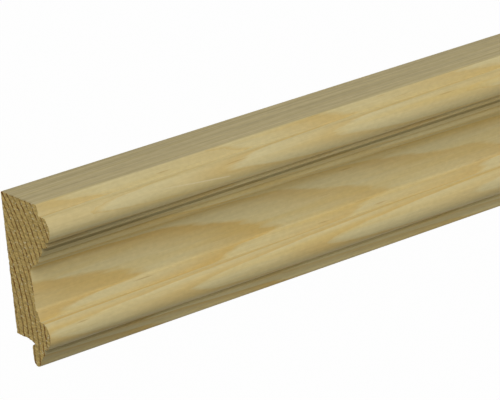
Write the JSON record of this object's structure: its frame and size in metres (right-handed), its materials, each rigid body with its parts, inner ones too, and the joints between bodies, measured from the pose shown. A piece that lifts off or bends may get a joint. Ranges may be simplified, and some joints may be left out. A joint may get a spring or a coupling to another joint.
{
  "type": "picture frame moulding",
  "caption": "Straight length of raw pine picture frame moulding: beads, ogee and sunk panel on the face, flat back, and a rebate behind a rounded lip.",
  "frame": {"origin": "on the floor plane, under the middle of the bounding box of the stick as it lies on its flat back", "axes": "+X along the length, +Y towards the outer edge of the frame, +Z out of the moulded face"},
  "size_m": [1, 0.045, 0.021],
  "materials": {
    "raw_pine": "planed, unfinished"
  },
  "bodies": {
    "root": {"moulding": "raw_pine"}
  },
  "joints": []
}
